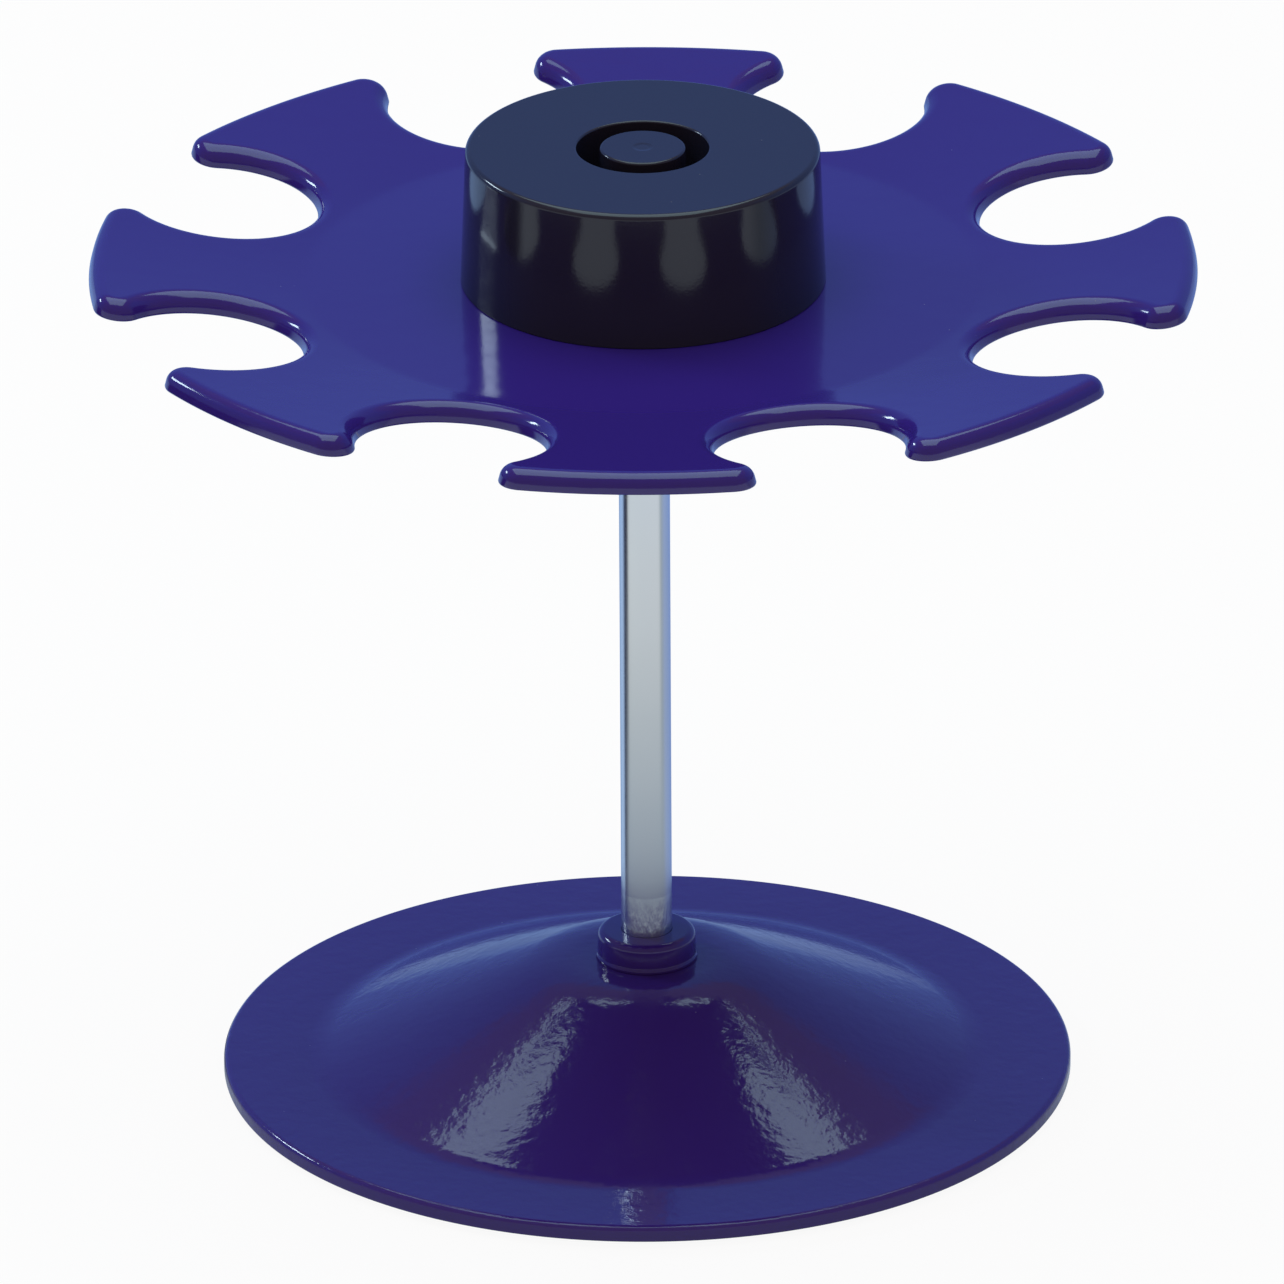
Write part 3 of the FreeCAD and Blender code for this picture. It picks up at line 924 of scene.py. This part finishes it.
def bearing_tints(tree, place):
    """Painted reflection: color round the post by the share of a full turn, from the left by way of the
    front, with a painted dark band at the left.
    """
    # The dark stops are painted shade, a dark band that what shines sees at the left; white in front and blue
    # behind paint the room's reflection.
    dark = (0.02, 0.02, 0.05)
    pale_blue = (0.46, 0.64, 0.95)
    stops = [(0.0, dark), (0.018, dark), (0.035, (0.84, 0.88, 0.88)), (0.44, (0.84, 0.87, 0.88)),
             (0.47, (0.42, 0.48, 0.50)), (0.52, (0.40, 0.50, 0.74)), (0.66, (0.26, 0.38, 0.72)),
             (0.80, (0.22, 0.36, 0.66)), (0.88, pale_blue), (0.935, pale_blue), (0.96, dark)]
    bearing = tree.nodes.new("ShaderNodeTexGradient")
    bearing.gradient_type = "RADIAL"
    tints = tree.nodes.new("ShaderNodeValToRGB")
    tree.links.new(place, bearing.inputs["Vector"])
    tree.links.new(bearing.outputs["Fac"], tints.inputs["Fac"])
    elements = tints.color_ramp.elements
    for element, (position, color) in zip(elements, (stops[0], stops[-1])):
        element.position = position
        element.color = (*color, 1)
    for position, color in stops[1:-1]:
        elements.new(position).color = (*color, 1)
    return tints.outputs["Color"]


def painted_floor_reflection(tree):
    """Painted reflection: color of the floor to what shines, by its bearing, with a painted shadow that makes
    it greyer near the foot in front, and cooler far out.
    """
    # Painted shadow: the grey near the foot stands in for the star plate's shadow on the floor, as gloss sees
    # it.
    near_painted_shadow = (0.40, 0.48, 0.56)
    cool = (0.91, 1.0, 1.16)
    place = object_place(tree)
    length = tree.nodes.new("ShaderNodeVectorMath")
    length.operation = "LENGTH"
    tree.links.new(place, length.inputs[0])
    reach = length.outputs["Value"]
    away = ranged(tree, reach, 70 * MM, 150 * MM)
    behind = ranged(tree, components(tree, place)["Y"], -10 * MM, 15 * MM)
    far = ranged(tree, reach, 160 * MM, 200 * MM)
    open_share = calculated(tree, "MAXIMUM", away, behind)
    tinted = mixed_color(tree, open_share, near_painted_shadow, bearing_tints(tree, place))
    return mixed_color(tree, far, tinted, cool, "MULTIPLY")


def floor():
    """Pale floor that camera rays see almost white, with the object's shadow left in it; clear from below.

    What shines sees a glowing sheet, a painted reflection that is white in front and blue towards the back,
    with a painted dark gap at the left and a painted shadow near the foot in front."""
    half = 3.0
    glow_share = 0.93
    mesh = bpy.data.meshes.new("floor")
    corners = [(-half, -half, 0), (half, -half, 0), (half, half, 0), (-half, half, 0)]
    mesh.from_pydata(corners, [], [(0, 1, 2, 3)])
    thing = new_object("floor", mesh)
    material = bpy.data.materials.new("pale_floor")
    material.use_nodes = True
    tree = material.node_tree
    tree.nodes.clear()
    path = tree.nodes.new("ShaderNodeLightPath")
    geometry = tree.nodes.new("ShaderNodeNewGeometry")
    paper = tree.nodes.new("ShaderNodeBsdfDiffuse")
    paper.inputs["Color"].default_value = (0.82, 0.82, 0.82, 1)
    glow = tree.nodes.new("ShaderNodeEmission")
    # The sheet glows only to what shines: a painted reflection, with painted shade in it.
    sheet = tree.nodes.new("ShaderNodeEmission")
    tree.links.new(painted_floor_reflection(tree), sheet.inputs["Color"])
    clear = tree.nodes.new("ShaderNodeBsdfTransparent")
    camera_share = calculated(tree, "MULTIPLY", path.outputs["Is Camera Ray"], glow_share)
    seen = mixed_shader(tree, camera_share, paper, glow)
    mirrored = mixed_shader(tree, path.outputs["Is Glossy Ray"], seen, sheet)
    sides = mixed_shader(tree, geometry.outputs["Backfacing"], mirrored, clear)
    output = tree.nodes.new("ShaderNodeOutputMaterial")
    tree.links.new(sides.outputs[0], output.inputs["Surface"])
    mesh.materials.append(material)


def studio_world():
    """White to the camera; to the rest a blue backdrop behind, and a room dim to gloss and warm to matt."""
    backdrop = (0.135, 0.24, 0.62)
    dim = (0.25, 0.23, 0.30)
    warm = (0.55, 0.34, 0.24)
    backdrop_top = math.radians(36)
    backdrop_end = math.radians(41)
    world = bpy.data.worlds.new("studio")
    bpy.context.scene.world = world
    world.use_nodes = True
    tree = world.node_tree
    tree.nodes.clear()
    path = tree.nodes.new("ShaderNodeLightPath")
    direction = components(tree, tree.nodes.new("ShaderNodeTexCoord").outputs["Generated"])
    low = ranged(tree, direction["Z"], math.sin(backdrop_end), math.sin(backdrop_top))
    behind = ranged(tree, direction["Y"], -0.35, 0.15)
    room = mixed_color(tree, path.outputs["Is Diffuse Ray"], dim, warm)
    studio = tree.nodes.new("ShaderNodeBackground")
    color = mixed_color(tree, calculated(tree, "MULTIPLY", low, behind), room, backdrop)
    tree.links.new(color, studio.inputs["Color"])
    white = tree.nodes.new("ShaderNodeBackground")
    white.inputs["Color"].default_value = (1, 1, 1, 1)
    output = tree.nodes.new("ShaderNodeOutputWorld")
    seen = mixed_shader(tree, path.outputs["Is Camera Ray"], studio, white)
    tree.links.new(seen.outputs[0], output.inputs["Surface"])


def lamp(name, place, aim, width, depth, radiance, color):
    """Softbox of a width and depth aimed at a point; radiance is what a mirror would show of it."""
    data = bpy.data.lights.new(name, "AREA")
    data.shape = "RECTANGLE"
    data.size = width
    data.size_y = depth
    data.energy = radiance * math.pi * width * depth
    data.color = color
    direction = Vector(aim) - Vector(place)
    turn = direction.to_track_quat("-Z", "Y").to_matrix().to_4x4()
    new_object(name, data).matrix_world = Matrix.Translation(place) @ turn


def lamps():
    """A broad softbox overhead, and a small bright one at the left, a little behind the object."""
    middle = Vector((0, 0, 60 * MM))
    bearing = math.radians(116)
    elevation = math.radians(28.8)
    distance = 1.35
    flat = math.cos(elevation)
    towards_key = Vector((-flat * math.sin(bearing), -flat * math.cos(bearing), math.sin(elevation)))
    lamp("overhead", place=(-0.03, 0.12, 0.95), aim=(-0.03, 0.12, 0.0), width=0.90, depth=1.04, radiance=2.2,
         color=(0.66, 0.94, 1.0))
    lamp("key", place=middle + towards_key * distance, aim=middle, width=0.36, depth=0.15, radiance=21.0,
         color=(0.70, 0.88, 1.0))


def camera():
    """Long-lens camera at the photograph's angle, with the post's axis where the photograph has it."""
    azimuth = math.radians(1.85)
    elevation = math.radians(23.86)
    roll = math.radians(-0.3)
    distance = 3.38
    aim_height = 55.42 * MM
    picture_width = 1284
    focal_pixels = 28706
    axis_pixel = 645.2
    data = bpy.data.cameras.new("camera")
    data.sensor_width = 36.0
    data.lens = data.sensor_width * focal_pixels / picture_width
    data.shift_x = (picture_width / 2 - axis_pixel) / picture_width
    data.clip_start = 0.5
    data.clip_end = 30.0
    flat = math.cos(elevation)
    back = Vector((math.sin(azimuth) * flat, -math.cos(azimuth) * flat, math.sin(elevation)))
    place = Vector((0, 0, aim_height)) + back * distance
    turn = back.to_track_quat("Z", "Y").to_matrix().to_4x4()
    thing = new_object("camera", data)
    thing.matrix_world = Matrix.Translation(place) @ turn @ Matrix.Rotation(roll, 4, "Z")
    bpy.context.scene.camera = thing


camera()
studio_world()
floor()
lamps()
bpy.context.scene.view_settings.view_transform = "Standard"

enamel = blue_enamel("blue_enamel", (0.030, 0.013, 0.185), wave=0.04 * MM, ripple_share=0.25)
# Painted shade: the foot's enamel is a redder, lighter copy of the star's, standing in for the purple cast of
# the foot's shaded cone front; its coarser orange peel is the foot's own.
foot_enamel_shade_tinted = blue_enamel("blue_enamel_foot", (0.037, 0.017, 0.194), wave=0.10 * MM, ripple_share=0.45)
black = black_plastic()
plated = metal_finish("plated_steel", (0.76, 0.77, 0.77), (0.64, 0.66, 0.67), roughness=(0.18, 0.28),
                      across=2500.0, along=30.0, depth=0.004 * MM, marked_below=23.5 * MM)
zinc = metal_finish("zinc_plate", (0.66, 0.67, 0.68), (0.52, 0.53, 0.55), roughness=(0.22, 0.40),
                    across=900.0, along=900.0, depth=0.01 * MM)
spring = metal_finish("spring_steel", (0.13, 0.13, 0.14), (0.07, 0.07, 0.08), roughness=(0.30, 0.45),
                      across=900.0, along=900.0, depth=0.01 * MM)
nylon = plain_plastic("nylon", (0.72, 0.71, 0.66), (0.62, 0.61, 0.56), roughness=0.35)
bush_plastic = plain_plastic("bush_plastic", (0.022, 0.022, 0.024), (0.015, 0.015, 0.017), roughness=0.42)
felt_finish = felt()

finished(base_dish(), foot_enamel_shade_tinted, "stand", "blue_enamel", "base_dish")
finished(collar(), enamel, "stand", "blue_enamel", "base_collar")
star = copies_round("star_disc", star_sector(), Count=slot_count, First_Angle=0.0, Seam_Width=0.002 * MM,
                    Finish=enamel)
smooth_and_outward(star.data)
finished(star, enamel, "rotor", "blue_enamel", "star_plate")
finished(hub(), black, "rotor", "black_plastic", "hub_cap")
finished(button(), black, "stand", "black_plastic", "axle_cap")
finished(post(), plated, "stand", "plated_post", "post")
finished(threaded_stud(), zinc, "stand", "plated_post", "post")

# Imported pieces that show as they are, with their finishes
shown_as_packed = [
    (zinc, ("base_washer", "base_nut", "hub_screw_1", "hub_screw_2", "hub_screw_3")),
    (spring, ("base_lock_washer", "lower_clip", "upper_clip")),
    (nylon, ("thrust_washer", "upper_washer")),
    (bush_plastic, ("bearing_bush",)),
    (felt_finish, ("foot_pad_1", "foot_pad_2", "foot_pad_3", "foot_pad_4")),
]
for finish, nodes in shown_as_packed:
    for node in nodes:
        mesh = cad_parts[node].data
        mesh.materials.clear()
        mesh.materials.append(finish)
